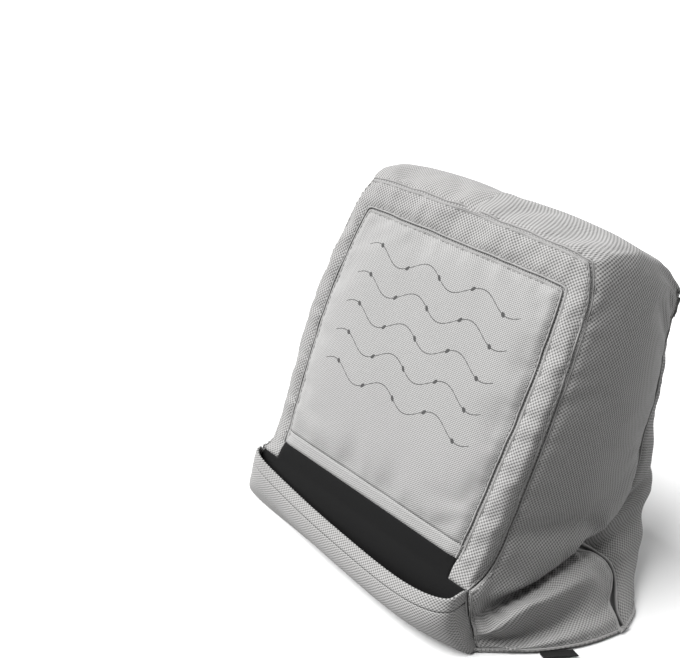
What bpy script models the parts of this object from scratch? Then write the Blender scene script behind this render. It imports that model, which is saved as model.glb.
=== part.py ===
"""Tablet cushion: a bead-filled sewn bag, bent over its own foot so that it stands as a sloping rest.

X runs across the cushion, -Y is the side that the tablet leans on, Z is up and the foot stands on Z = 0.
The origin is the middle of the flat underside. Each outline below is the outer face of the fabric.
"""
import bpy
import bmesh
from mathutils import Matrix, Vector

mm = 0.001

# Cloth and seams
FABRIC = 1.2 * mm
LINING = 1.0 * mm
SEAM_RADIUS = 1.3 * mm
PIPING_RADIUS = 0.9 * mm
CLEARANCE = 0.5 * mm
SEAM_CHANNEL = SEAM_RADIUS + 2 * CLEARANCE
SEAM_END_GAP = 5.5 * mm
PIPING_CHANNEL = 2 * (PIPING_RADIUS + CLEARANCE)

# The fold between the foot and the backrest: a shallow trough, lowest at its front end
FOLD_FRONT_Y = -47.0 * mm
FOLD_FRONT_HEIGHT = 40.0 * mm
FOLD_BACK_Y = 131.0 * mm
FOLD_BACK_HEIGHT = 54.0 * mm
FOLD_GAP = 1.0 * mm
HINGE_AHEAD = 3.0 * mm

# Backrest, at its side seams and across its middle
MOUTH_HALF_WIDTH = 98.0 * mm
RIM_TOP_HALF_WIDTH = 93.0 * mm
BACK_TOP_HALF_WIDTH = 108.0 * mm
HEEL_HALF_WIDTH = 112.0 * mm
RIM_BOW = 11.0 * mm
TOP_WIDTH_BOW = 4.0 * mm
BACK_WIDTH_BOW = 4.0 * mm
FOLD_WIDTH_BOW = 4.0 * mm
MOUTH_SIDE_Y = -46.0 * mm
MOUTH_MIDDLE_Y = -48.5 * mm
RIM_TOP_SIDE = (32.0 * mm, 237.0 * mm)
RIM_TOP_MIDDLE = (32.5 * mm, 242.0 * mm)
BACK_TOP_SIDE = (115.0 * mm, 205.0 * mm)
BACK_TOP_MIDDLE = (121.0 * mm, 210.0 * mm)
HEEL_TOP_SIDE = (103.0 * mm, 80.0 * mm)
HEEL_TOP_MIDDLE = (142.0 * mm, 82.0 * mm)
HEEL_UNDER_SIDE_Y = 80.0 * mm
HEEL_UNDER_MIDDLE_Y = 131.0 * mm
FACE_BOW_SIDE = 1.0 * mm
FACE_BOW_MIDDLE = 3.0 * mm
TOP_BOW_SIDE = 8.0 * mm
TOP_BOW_MIDDLE = 16.0 * mm
BACK_BOW_SIDE = 3.0 * mm
BACK_BOW_MIDDLE = 3.0 * mm
HEEL_BOW_SIDE = 7.0 * mm
HEEL_BOW_MIDDLE = 5.0 * mm
BACKREST_SIDE_CROWN = 16.0 * mm
BACKREST_SIDE_CENTRE = (45.0 * mm, 125.0 * mm)

# Foot, at its side seams and across its middle
FOOT_WIDER_THAN_MOUTH = 4.0 * mm
FOOT_WIDER_THAN_HEEL = 2.0 * mm
FOOT_FRONT_FLARE = 9.0 * mm
FOOT_HEEL_FLARE = 18.0 * mm
FLOOR_BACK_FLARE = 26.0 * mm
FOOT_FRONT_TOP_HALF_WIDTH = MOUTH_HALF_WIDTH + FOOT_WIDER_THAN_MOUTH
FOOT_FRONT_HALF_WIDTH = FOOT_FRONT_TOP_HALF_WIDTH + FOOT_FRONT_FLARE
FOOT_BACK_TOP_HALF_WIDTH = HEEL_HALF_WIDTH + FOOT_WIDER_THAN_HEEL
FOOT_BACK_HALF_WIDTH = FOOT_BACK_TOP_HALF_WIDTH + FOOT_HEEL_FLARE
FLOOR_BACK_HALF_WIDTH = FOOT_BACK_HALF_WIDTH + FLOOR_BACK_FLARE
FLOOR_WIDTH_BOW = 11.0 * mm
FLOOR_FRONT_SIDE_Y = -44.0 * mm
FLOOR_FRONT_MIDDLE_Y = -57.0 * mm
FLOOR_BACK_SIDE_Y = 41.0 * mm
FLOOR_BACK_MIDDLE_Y = 95.0 * mm
FOOT_TOP_FRONT_SIDE_Y = -46.0 * mm
FOOT_TOP_FRONT_MIDDLE_Y = -50.0 * mm
FOOT_HEEL_TOP_SIDE_Y = 36.0 * mm
FOOT_HEEL_TOP_MIDDLE_Y = 129.0 * mm
FOOT_HEEL_SIDE = (56.0 * mm, 27.0 * mm)
FOOT_HEEL_MIDDLE = (129.0 * mm, 34.0 * mm)
FOOT_FRONT_BOW_SIDE = 1.0 * mm
FOOT_FRONT_BOW_MIDDLE = 4.0 * mm
FOOT_HEEL_BOW_SIDE = 6.0 * mm
FOOT_HEEL_BOW_MIDDLE = 5.0 * mm
FOOT_BACK_BOW = 3.0 * mm
FOOT_SIDE_CROWN = 5.0 * mm
FOOT_SIDE_CENTRE = (5.0 * mm, 22.0 * mm)

# How late, going outward, the middle outline turns into the side outline
CORNER_POWER = 6.0
FRONT_CORNER_POWER = 3.0
FOOT_CORNER_SHARE = 0.88

# Cover panel of the pocket and the border strips round it
BORDER_SIDE = 16.7 * mm
BORDER_TOP = 18.0 * mm
COVER_HEM = 9.0 * mm
COVER_HEM_THICKNESS = 1.8 * mm
COVER_LIFT = 0.4 * mm

# Front lip, from its foot on the floor to its free hemmed edge: curve points as distance ahead of
# the foot's front edge and height, across the middle and at the side seams
LIP_SHORT_OF_CORNER = 5.0 * mm
LIP_HALF_WIDTH = FOOT_FRONT_HALF_WIDTH - LIP_SHORT_OF_CORNER
LIP_MIDDLE = ((1.1 * mm, 0.8 * mm), (19.0 * mm, 6.0 * mm), (25.0 * mm, 22.0 * mm), (13.5 * mm, 34.0 * mm))
LIP_SIDE = ((4.5 * mm, 0.8 * mm), (13.0 * mm, 8.0 * mm), (17.0 * mm, 25.0 * mm), (10.0 * mm, 36.5 * mm))
LIP_CORNER_POWER = 6.0
LIP_LINING_SHARE = 0.74
LIP_HEM_SHARE = 0.78
LIP_HEM_GAP_SHARE = 0.015
BEHIND_LIP = (0.0, 0.0, 20.0 * mm)

# Woven label in the right bottom seam
LABEL_LENGTH = 22.0 * mm
LABEL_REACH = 10.0 * mm
LABEL_THICKNESS = 0.8 * mm
LABEL_Y = -7.0 * mm
LABEL_LOOK_SHARE = 0.1

# Rows and columns of the panels between their seams
FACE_SPANS = 6
TOP_SPANS = 4
BACK_SPANS = 4
FOLD_SPANS = 7
FRONT_SPANS = 2
FOOT_BACK_SPANS = 1
BASE_SPANS = 4
COLUMN_SPANS = 8
HEEL_SHARES = [0.0, 0.35, 0.7, 1.0]
LIP_ROW_SPANS = 5
LIP_HEM_SPANS = 2
LIP_COLUMN_SPANS = 12
SEAM_ROUNDNESS = 1

# Rings of a side panel from its centre to the seam channel, and the mark for the seam itself
CAP_SHARES = [0.0, 0.35, 0.62, 0.84, 1.0]
AT_SEAM = 2.0
NEAREST_SPOKES = 0.8 * mm
SAME_PLACE = 0.01 * mm

BASE_SEAM_HEIGHT = SEAM_RADIUS + CLEARANCE
COVER_SHARE_ACROSS = 1 - BORDER_SIDE / MOUTH_HALF_WIDTH
BORDER_INNER = COVER_SHARE_ACROSS + PIPING_CHANNEL / MOUTH_HALF_WIDTH


def fold_height(y):
    """Height of the fold between backrest and foot."""
    share = (y - FOLD_FRONT_Y) / (FOLD_BACK_Y - FOLD_FRONT_Y)
    return FOLD_FRONT_HEIGHT + (FOLD_BACK_HEIGHT - FOLD_FRONT_HEIGHT) * share * share


def above_fold(y):
    return fold_height(y) + FOLD_GAP / 2


def below_fold(y):
    return fold_height(y) - FOLD_GAP / 2


def edge_lift(t, u):
    """Height of the underside: flat on the floor, and lifted to the base seam at its edges."""
    at_edge = t in (0.0, 1.0) or abs(u) == 1.0
    return BASE_SEAM_HEIGHT if at_edge else 0.0


class Corner:
    """A seam corner of an outline: its half width, its place at the side seam and across the middle."""

    def __init__(self, half_width, side, middle, power=CORNER_POWER):
        self.half_width = half_width
        self.side = Vector(side)
        self.middle = Vector(middle)
        self.power = power


class Stretch:
    """One side of a body's outline, bowed outward between two corners, or lying on a surface."""

    def __init__(self, start, end, width_bow=0.0, side_bow=0.0, middle_bow=0.0, lies_on=None, on_floor=False):
        self.start = start
        self.end = end
        self.width_bow = width_bow
        self.side_bow = side_bow
        self.middle_bow = middle_bow
        self.lies_on = lies_on
        self.on_floor = on_floor

    def length(self):
        return (self.end.side - self.start.side).length

    def point(self, t, u):
        """Point at share t along the stretch, and at u from -1 to 1 across the cushion."""
        swell = 4 * t * (1 - t)
        half_width = self.start.half_width + (self.end.half_width - self.start.half_width) * t
        half_width += self.width_bow * swell
        side = bowed(self.start.side, self.end.side, self.side_bow * swell, t)
        middle = bowed(self.start.middle, self.end.middle, self.middle_bow * swell, t)
        power = self.start.power + (self.end.power - self.start.power) * t
        place = middle.lerp(side, abs(u) ** power)
        if self.on_floor:
            height = edge_lift(t, u)
        elif self.lies_on:
            height = self.lies_on(place.x)
        else:
            height = place.y
        return Vector((u * half_width, place.x, height))


def bowed(start, end, bow, t):
    """Point at t from start to end in the Y-Z plane, moved to the left of the way by bow."""
    way = (end - start).normalized()
    return start.lerp(end, t) + Vector((-way.y, way.x)) * bow


def backrest_outline():
    mouth = Corner(
        MOUTH_HALF_WIDTH,
        (MOUTH_SIDE_Y, above_fold(MOUTH_SIDE_Y)),
        (MOUTH_MIDDLE_Y, above_fold(MOUTH_MIDDLE_Y)),
    )
    rim = Corner(RIM_TOP_HALF_WIDTH, RIM_TOP_SIDE, RIM_TOP_MIDDLE)
    crest = Corner(BACK_TOP_HALF_WIDTH, BACK_TOP_SIDE, BACK_TOP_MIDDLE)
    heel = Corner(HEEL_HALF_WIDTH, HEEL_TOP_SIDE, HEEL_TOP_MIDDLE)
    under = Corner(
        HEEL_HALF_WIDTH,
        (HEEL_UNDER_SIDE_Y, above_fold(HEEL_UNDER_SIDE_Y)),
        (HEEL_UNDER_MIDDLE_Y, above_fold(HEEL_UNDER_MIDDLE_Y)),
    )
    return {
        "face": Stretch(mouth, rim, RIM_BOW, FACE_BOW_SIDE, FACE_BOW_MIDDLE),
        "top": Stretch(rim, crest, TOP_WIDTH_BOW, TOP_BOW_SIDE, TOP_BOW_MIDDLE),
        "back": Stretch(crest, heel, BACK_WIDTH_BOW, BACK_BOW_SIDE, BACK_BOW_MIDDLE),
        "heel": Stretch(heel, under, 0.0, HEEL_BOW_SIDE, HEEL_BOW_MIDDLE),
        "fold": Stretch(under, mouth, FOLD_WIDTH_BOW, lies_on=above_fold),
    }


def foot_outline():
    front = Corner(
        FOOT_FRONT_HALF_WIDTH,
        (FLOOR_FRONT_SIDE_Y, BASE_SEAM_HEIGHT),
        (FLOOR_FRONT_MIDDLE_Y, BASE_SEAM_HEIGHT),
        FRONT_CORNER_POWER,
    )
    trough = Corner(
        FOOT_FRONT_TOP_HALF_WIDTH,
        (FOOT_TOP_FRONT_SIDE_Y, below_fold(FOOT_TOP_FRONT_SIDE_Y)),
        (FOOT_TOP_FRONT_MIDDLE_Y, below_fold(FOOT_TOP_FRONT_MIDDLE_Y)),
        FRONT_CORNER_POWER,
    )
    turn = Corner(
        FOOT_BACK_TOP_HALF_WIDTH,
        (FOOT_HEEL_TOP_SIDE_Y, below_fold(FOOT_HEEL_TOP_SIDE_Y)),
        (FOOT_HEEL_TOP_MIDDLE_Y, below_fold(FOOT_HEEL_TOP_MIDDLE_Y)),
    )
    heel = Corner(FOOT_BACK_HALF_WIDTH, FOOT_HEEL_SIDE, FOOT_HEEL_MIDDLE)
    back = Corner(
        FLOOR_BACK_HALF_WIDTH,
        (FLOOR_BACK_SIDE_Y, BASE_SEAM_HEIGHT),
        (FLOOR_BACK_MIDDLE_Y, BASE_SEAM_HEIGHT),
    )
    return {
        "front": Stretch(front, trough, 0.0, FOOT_FRONT_BOW_SIDE, FOOT_FRONT_BOW_MIDDLE),
        "fold": Stretch(trough, turn, lies_on=below_fold),
        "heel": Stretch(turn, heel, 0.0, FOOT_HEEL_BOW_SIDE, FOOT_HEEL_BOW_MIDDLE),
        "back": Stretch(heel, back, 0.0, FOOT_BACK_BOW, FOOT_BACK_BOW),
        "base": Stretch(back, front, FLOOR_WIDTH_BOW, on_floor=True),
    }


def stations(stretch, spans, more=()):
    """Shares along a stretch: both ends, the edges of the seam channels and the rows between."""
    edge = SEAM_CHANNEL / stretch.length()
    inner = [edge + (1 - 2 * edge) * i / spans for i in range(spans + 1)]
    marks = list(more)
    kept = [t for t in inner if all(abs(t - mark) > edge for mark in marks)]
    return sorted([0.0, 1.0] + kept + marks)


class Half:
    """The backrest or the foot: its outline, the rows round it, the columns across it and its side panels."""

    def __init__(self, outline, rows, columns, side_place, side_crown, pivot=None):
        self.outline = outline
        self.rows = rows
        self.columns = columns
        self.side_centre = Vector(side_place)
        self.side_crown = side_crown
        self.inside = Vector((0.0, self.side_centre.y, self.side_centre.z))
        self.pivot = pivot

    def ring(self):
        """Rows all the way round the outline, as (stretch, share)."""
        return [(stretch, t) for name, stretch in self.outline.items() for t in self.rows[name][:-1]]

    def along(self, *names):
        """Panel rows along neighbouring stretches, without the first and the last one."""
        joined = [(self.outline[name], t) for name in names for t in self.rows[name][:-1]]
        return joined[1:]

    def add_wrap_panel(self, name, rows, shade):
        """A panel that runs across the cushion from seam channel to seam channel."""
        add_panel(name, rows, self.columns[1:-1], wrap_point, self.inside, shade, pivot=self.pivot)


def across(more=()):
    """Shares across the cushion: the side seams, their channels and the columns between."""
    edge = 1 - SEAM_CHANNEL / RIM_TOP_HALF_WIDTH
    inner = [edge * (2 * i / COLUMN_SPANS - 1) for i in range(COLUMN_SPANS + 1)]
    marks = [sign * mark for mark in more for sign in (-1, 1)]
    kept = [u for u in inner if all(abs(u - mark) > 1 - edge for mark in marks)]
    return sorted([-1.0, 1.0] + kept + marks)


def material(name, colour, roughness):
    shade = bpy.data.materials.new(name)
    shade.use_nodes = True
    surface = shade.node_tree.nodes["Principled BSDF"]
    surface.inputs["Base Color"].default_value = (*colour, 1.0)
    surface.inputs["Roughness"].default_value = roughness
    surface.inputs["Metallic"].default_value = 0.0
    return shade


def add_object(name, bm, shade, pivot=None):
    mesh = bpy.data.meshes.new(name)
    bm.to_mesh(mesh)
    bm.free()
    mesh.shade_smooth()
    mesh.materials.append(shade)
    piece = bpy.data.objects.new(name, mesh)
    parts.objects.link(piece)
    hang(piece, pivot)
    return piece


def hang(piece, pivot):
    """Parents a piece to the empty on its joint's axis, and leaves it where it is."""
    if pivot:
        piece.parent = pivot
        piece.matrix_parent_inverse = Matrix.Translation(-pivot_places[pivot.name])


def add_pivot(name, place, parent=None):
    pivot = bpy.data.objects.new(name, None)
    pivot.location = place
    pivot_places[name] = Vector(place)
    parts.objects.link(pivot)
    hang(pivot, parent)
    return pivot


def lofted(bm, rows, columns, place):
    """A grid whose point in row i and column j is moved to place(rows[i], columns[j])."""
    across_count = len(columns) - 1
    along_count = len(rows) - 1
    made = bmesh.ops.create_grid(bm, x_segments=across_count, y_segments=along_count, size=1.0)
    for point in made["verts"]:
        j = round((point.co.x + 1) / 2 * across_count)
        i = round((point.co.y + 1) / 2 * along_count)
        point.co = place(rows[i], columns[j])
    return made["verts"]


def face_away(bm, middle):
    """Turns an open sheet so that its faces point away from middle."""
    bm.normal_update()
    outward = 0.0
    for face in bm.faces:
        outward += (face.calc_center_median() - middle).dot(face.normal) * face.calc_area()
    if outward < 0:
        bmesh.ops.reverse_faces(bm, faces=bm.faces[:])
    bm.normal_update()


def lifted(bm, distance):
    for point in bm.verts:
        point.co = point.co + point.normal * distance


def add_panel(
    name, rows, columns, place, middle, shade, thickness=FABRIC, lift=0.0, outward=False, pivot=None,
):
    """A cloth panel: a lofted sheet with thickness, grown inward, or outward from a lifted sheet."""
    bm = bmesh.new()
    lofted(bm, rows, columns, place)
    face_away(bm, middle)
    lifted(bm, lift)
    piece = add_object(name, bm, shade, pivot)
    shell = piece.modifiers.new("Cloth", "SOLIDIFY")
    shell.thickness = thickness
    shell.offset = 1.0 if outward else -1.0
    return piece


def wrap_point(row, u):
    stretch, t = row
    return stretch.point(t, u)


def inset(loop, distance):
    """Moves a closed loop inward in the Y-Z plane, by distance from each of its edges.

    Each moved point comes with its source. A point that would pass a sharper corner's moved point, or
    come too near it, takes that point and its source instead.
    """
    moved = []
    turns = []
    for i, here in enumerate(loop):
        before = (here - loop[i - 1]).yz.normalized()
        after = (loop[(i + 1) % len(loop)] - here).yz.normalized()
        inward = Vector((before.y + after.y, -before.x - after.x))
        step = inward * distance / (1 + before.dot(after))
        moved.append((here + Vector((0.0, step.x, step.y)), here))
        turns.append(1 - before.dot(after))
    settled = list(moved)
    for i in range(len(loop)):
        j = (i + 1) % len(loop)
        way = (loop[j] - loop[i]).yz.normalized()
        too_near = (moved[j][0] - moved[i][0]).yz.dot(way) < NEAREST_SPOKES
        if too_near and turns[i] > turns[j]:
            settled[j] = moved[i]
        elif too_near:
            settled[i] = moved[j]
    return settled


def cap_place(half, sign):
    """Place of a side panel's point: spokes run from the centre to the seam channel, then to the seam."""
    seam = [stretch.point(t, 1) for stretch, t in half.ring()]
    channel = inset(seam, SEAM_CHANNEL)
    centre = half.side_centre

    def place(spoke, share):
        place_on_seam = seam[spoke % len(seam)]
        if share == AT_SEAM:
            return Vector((sign * place_on_seam.x, place_on_seam.y, place_on_seam.z))
        edge, source = channel[spoke % len(seam)]
        reach = (edge - centre).yz.length / (source - centre).yz.length * share
        x = centre.x + (source.x - centre.x) * reach + half.side_crown * (1 - reach * reach)
        return Vector((sign * x, *centre.yz.lerp(edge.yz, share)))
    return place


def add_filling(name, half, shade):
    """The bead-filled inner bag: the wrap and both sides in one closed form, inside the fabric."""
    bm = bmesh.new()
    ring = half.ring()
    lofted(bm, ring + ring[:1], half.columns, wrap_point)
    for sign in (-1, 1):
        lofted(bm, range(len(ring) + 1), CAP_SHARES + [AT_SEAM], cap_place(half, sign))
    bmesh.ops.remove_doubles(bm, verts=bm.verts[:], dist=SAME_PLACE)
    bmesh.ops.recalc_face_normals(bm, faces=bm.faces[:])
    bm.normal_update()
    lifted(bm, -(FABRIC + CLEARANCE))
    add_object(name, bm, shade, half.pivot)


def add_side_panel(name, half, sign, shade):
    bm = bmesh.new()
    lofted(bm, range(len(half.ring()) + 1), CAP_SHARES, cap_place(half, sign))
    bmesh.ops.remove_doubles(bm, verts=bm.verts[:], dist=SAME_PLACE)
    face_away(bm, half.inside)
    piece = add_object(name, bm, shade, half.pivot)
    shell = piece.modifiers.new("Cloth", "SOLIDIFY")
    shell.thickness = FABRIC
    shell.offset = -1.0


def add_seam(name, path, radius, shade, pivot=None):
    """The ridge where panels are stitched together: a thin round roll of cloth along a path."""
    curve = bpy.data.curves.new(name, "CURVE")
    curve.dimensions = "3D"
    curve.bevel_depth = radius
    curve.bevel_resolution = SEAM_ROUNDNESS
    curve.use_fill_caps = True
    line = curve.splines.new("POLY")
    line.points.add(len(path) - 1)
    for point, place in zip(line.points, path):
        point.co = (*place, 1.0)
    curve.materials.append(shade)
    piece = bpy.data.objects.new(name, curve)
    parts.objects.link(piece)
    hang(piece, pivot)


def add_seam_round(name, up_right, across_top, half, radius=SEAM_RADIUS):
    """A seam up the right side, across and down the left side, the mirror of the right one."""
    down_left = [Vector((-place.x, place.y, place.z)) for place in reversed(up_right)]
    add_seam(name, up_right + across_top + down_left, radius, thread, half.pivot)


def lip_point(t, u):
    """Point at share t up the lip and u across it, on a cubic curve that turns in at the ends."""
    weights = ((1 - t) ** 3, 3 * t * (1 - t) ** 2, 3 * t * t * (1 - t), t ** 3)
    middle = sum((Vector(p) * w for p, w in zip(LIP_MIDDLE, weights)), Vector((0.0, 0.0)))
    side = sum((Vector(p) * w for p, w in zip(LIP_SIDE, weights)), Vector((0.0, 0.0)))
    share = abs(u) ** LIP_CORNER_POWER
    ahead, height = middle.lerp(side, share)
    front = FLOOR_FRONT_MIDDLE_Y + (FLOOR_FRONT_SIDE_Y - FLOOR_FRONT_MIDDLE_Y) * share
    return Vector((u * LIP_HALF_WIDTH, front - ahead, height))


def face_marks(face):
    """Shares up the face: top of the cover's hem, foot and top of the cover, foot of the top border."""
    hem_top = (SEAM_CHANNEL + COVER_HEM) / face.length()
    cover_foot = hem_top + CLEARANCE / face.length()
    border_foot = 1 - (SEAM_CHANNEL + BORDER_TOP) / face.length()
    cover_top = border_foot - PIPING_CHANNEL / face.length()
    return hem_top, cover_foot, cover_top, border_foot


def backrest_half(pivot):
    outline = backrest_outline()
    rows = {
        "face": stations(outline["face"], FACE_SPANS),
        "top": stations(outline["top"], TOP_SPANS),
        "back": stations(outline["back"], BACK_SPANS),
        "heel": HEEL_SHARES,
        "fold": stations(outline["fold"], FOLD_SPANS),
    }
    columns = across((COVER_SHARE_ACROSS, BORDER_INNER))
    side_place = (RIM_TOP_HALF_WIDTH + RIM_BOW, *BACKREST_SIDE_CENTRE)
    return Half(outline, rows, columns, side_place, BACKREST_SIDE_CROWN, pivot)


def add_backrest(half):
    add_filling("backrest_filling", half, inner_cloth)
    add_side_panel("side_panel_left", half, -1, cloth)
    add_side_panel("side_panel_right", half, 1, cloth)
    half.add_wrap_panel("top_panel", half.along("top"), cloth)
    half.add_wrap_panel("back_panel", half.along("back", "heel", "fold"), cloth)

    face = half.outline["face"]
    up_face = [face.point(t, 1) for t in half.rows["face"][:-1]]
    across_rim = [face.point(1, u) for u in reversed(half.columns)]
    add_seam_round("rim_seam", up_face, across_rim, half)
    climb = half.along("back", "heel")
    up_back = [stretch.point(t, 1) for stretch, t in reversed(climb)]
    across_crest = [half.outline["back"].point(0, u) for u in reversed(half.columns)]
    add_seam_round("back_seam", up_back, across_crest, half)


def add_pocket(half, cover_pivot):
    """Lining, border strips and piping on the backrest's face, and the cover with its free hem."""
    face = half.outline["face"]
    hem_top, cover_foot, cover_top, border_foot = face_marks(face)
    shares = stations(face, FACE_SPANS, (hem_top, cover_foot, cover_top, border_foot))[1:-1]
    border_rows = [(face, t) for t in shares if t >= border_foot]
    lining_rows = [(face, t) for t in shares if t <= cover_top]
    cover_rows = [(face, t) for t in shares if cover_foot <= t <= cover_top]
    hem_rows = [(face, t) for t in shares if t <= hem_top]
    cover_columns = [u for u in half.columns if abs(u) <= COVER_SHARE_ACROSS]

    half.add_wrap_panel("border_strip_top", border_rows, cloth)
    for side, sign in (("left", -1), ("right", 1)):
        strip_columns = [u for u in half.columns[1:-1] if u * sign >= BORDER_INNER]
        add_panel(
            "border_strip_" + side, lining_rows, strip_columns, wrap_point, half.inside, cloth,
            pivot=half.pivot,
        )
    add_panel(
        "pocket_lining", lining_rows, cover_columns, wrap_point, half.inside, lining_cloth, pivot=half.pivot,
    )
    add_panel(
        "pocket_cover", cover_rows, cover_columns, wrap_point, half.inside, print_cloth,
        lift=COVER_LIFT, outward=True, pivot=cover_pivot,
    )
    add_panel(
        "pocket_cover_hem", hem_rows, cover_columns, wrap_point, half.inside, print_cloth,
        thickness=COVER_HEM_THICKNESS, lift=COVER_LIFT, outward=True, pivot=cover_pivot,
    )
    piping_across = (COVER_SHARE_ACROSS + BORDER_INNER) / 2
    piping_top = (cover_top + border_foot) / 2
    up_cover = [face.point(t, piping_across) for t in shares if t <= cover_top]
    up_cover.append(face.point(piping_top, piping_across))
    across_cover = [face.point(piping_top, u) for u in reversed(cover_columns)]
    add_seam_round("cover_piping", up_cover, across_cover, half, PIPING_RADIUS)


def foot_half():
    outline = foot_outline()
    rows = {
        "front": stations(outline["front"], FRONT_SPANS),
        "fold": stations(outline["fold"], FOLD_SPANS),
        "heel": HEEL_SHARES,
        "back": stations(outline["back"], FOOT_BACK_SPANS),
        "base": stations(outline["base"], BASE_SPANS),
    }
    side_place = ((FOOT_BACK_TOP_HALF_WIDTH + FOOT_BACK_HALF_WIDTH) / 2, *FOOT_SIDE_CENTRE)
    return Half(outline, rows, across((FOOT_CORNER_SHARE,)), side_place, FOOT_SIDE_CROWN)


def add_foot(half):
    add_filling("foot_filling", half, inner_cloth)
    half.add_wrap_panel("trough_lining", half.along("front"), lining_cloth)
    half.add_wrap_panel("foot_back_panel", half.along("fold", "heel", "back"), cloth)
    half.add_wrap_panel("base_panel", half.along("base"), cloth)
    back = half.outline["back"]
    climb = half.along("heel", "back")[:-1] + [(back, 1 - SEAM_END_GAP / back.length())]
    for side, sign in (("left", -1), ("right", 1)):
        add_side_panel("foot_side_" + side, half, sign, cloth)
        corner_path = [half.outline["front"].point(t, sign) for t in half.rows["front"][1:]]
        add_seam("corner_seam_" + side, corner_path, SEAM_RADIUS, thread)
        back_path = [stretch.point(t, sign) for stretch, t in climb]
        add_seam("foot_back_seam_" + side, back_path, SEAM_RADIUS, thread)
    base = half.outline["base"]
    right_edge = [base.point(t, 1) for t in reversed(half.rows["base"][:-1])]
    back_edge = [base.point(0.0, u) for u in reversed(half.columns[1:-1])]
    add_seam_round("base_seam", right_edge, back_edge, half)


def add_lip(pivot):
    """Front lip: an outer panel, its black lining and the folded hem along the free edge."""
    columns = [2 * i / LIP_COLUMN_SPANS - 1 for i in range(LIP_COLUMN_SPANS + 1)]
    panel_rows = [LIP_HEM_SHARE * i / LIP_ROW_SPANS for i in range(LIP_ROW_SPANS + 1)]
    lining_rows = [LIP_LINING_SHARE * i / LIP_ROW_SPANS for i in range(LIP_ROW_SPANS + 1)]
    hem_foot = LIP_HEM_SHARE + LIP_HEM_GAP_SHARE
    hem_rows = [hem_foot + (1 - hem_foot) * i / LIP_HEM_SPANS for i in range(LIP_HEM_SPANS + 1)]
    behind = Vector(BEHIND_LIP)
    add_panel("lip_panel", panel_rows, columns, lip_point, behind, cloth, pivot=pivot)
    add_panel(
        "lip_lining", lining_rows, columns, lip_point, behind, lining_cloth,
        thickness=LINING, lift=-(FABRIC + COVER_LIFT), pivot=pivot,
    )
    add_panel(
        "lip_hem", hem_rows, columns, lip_point, behind, cloth,
        thickness=FABRIC + COVER_LIFT + LINING, pivot=pivot,
    )


def add_label(base):
    """Woven label, sewn into the right bottom seam, lying out on the floor."""
    share = (FLOOR_BACK_SIDE_Y - LABEL_Y) / (FLOOR_BACK_SIDE_Y - FLOOR_FRONT_SIDE_Y)
    way = (base.point(share - LABEL_LOOK_SHARE, 1) - base.point(share + LABEL_LOOK_SHARE, 1)).normalized()
    out = Vector((way.y, -way.x, 0.0))
    hinge = base.point(share, 1) + out * (SEAM_RADIUS + CLEARANCE)
    pivot = add_pivot("label_pivot", hinge)
    turned = Matrix((out, way, (0.0, 0.0, 1.0))).transposed().to_4x4()
    sized = Matrix.Diagonal((LABEL_REACH, LABEL_LENGTH, LABEL_THICKNESS, 1.0))
    moved = Matrix.Translation(hinge + out * LABEL_REACH / 2)
    bm = bmesh.new()
    bmesh.ops.create_cube(bm, size=1.0, matrix=moved @ turned @ sized)
    add_object("label", bm, ribbon, pivot)


for old in list(bpy.data.objects):
    bpy.data.objects.remove(old, do_unlink=True)
parts = bpy.data.collections.new("tablet_cushion")
bpy.context.scene.collection.children.link(parts)
pivot_places = {}

cloth = material("grey_cloth", (0.40, 0.39, 0.38), 0.9)
print_cloth = material("light_grey_cloth", (0.48, 0.47, 0.46), 0.9)
lining_cloth = material("black_lining", (0.02, 0.02, 0.02), 0.8)
inner_cloth = material("inner_bag", (0.75, 0.74, 0.72), 0.8)
thread = material("seam_cloth", (0.34, 0.33, 0.32), 0.9)
ribbon = material("label_ribbon", (0.02, 0.02, 0.02), 0.6)

backrest_pivot = add_pivot("backrest_pivot", (0.0, FOLD_FRONT_Y - HINGE_AHEAD, FOLD_FRONT_HEIGHT))
backrest = backrest_half(backrest_pivot)
add_backrest(backrest)
cover_axis = backrest.outline["face"].point(face_marks(backrest.outline["face"])[2], 0)
add_pocket(backrest, add_pivot("cover_pivot", cover_axis, backrest_pivot))

foot = foot_half()
add_foot(foot)
add_lip(add_pivot("lip_pivot", lip_point(0, 0)))
add_label(foot.outline["base"])
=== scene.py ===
"""Tablet cushion, dressed: a sewn cloth bag over bead-filled inner bags, folded over its own foot.

Every piece is in the part's own frame: X across the cushion, -Y towards its face and its lip, Z up
from the surface that it stands on.
"""
from math import atan, cos, exp, pi, sin, tau

import bmesh
import bpy
import numpy as np
from mathutils import Matrix, Vector
from mathutils.bvhtree import BVHTree
from mathutils.kdtree import KDTree


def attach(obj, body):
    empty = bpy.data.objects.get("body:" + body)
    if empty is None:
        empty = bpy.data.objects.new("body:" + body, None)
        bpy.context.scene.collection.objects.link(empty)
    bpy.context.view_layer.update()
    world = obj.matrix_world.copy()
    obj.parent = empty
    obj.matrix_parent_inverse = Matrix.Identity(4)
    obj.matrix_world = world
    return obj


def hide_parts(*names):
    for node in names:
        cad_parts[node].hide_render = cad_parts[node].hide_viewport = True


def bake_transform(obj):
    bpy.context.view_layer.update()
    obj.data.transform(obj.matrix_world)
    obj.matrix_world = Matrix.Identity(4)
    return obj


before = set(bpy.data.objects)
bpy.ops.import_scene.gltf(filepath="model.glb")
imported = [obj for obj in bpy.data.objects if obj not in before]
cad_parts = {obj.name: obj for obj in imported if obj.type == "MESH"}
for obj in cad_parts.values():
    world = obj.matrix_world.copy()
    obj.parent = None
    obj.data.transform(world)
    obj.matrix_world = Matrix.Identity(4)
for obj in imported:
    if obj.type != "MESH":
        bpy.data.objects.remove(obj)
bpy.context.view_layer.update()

mm = 0.001

# Cloth
CLOTH = 1.2 * mm
LINING = 0.8 * mm
FLOOR_CLEAR = 0.1 * mm

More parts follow.
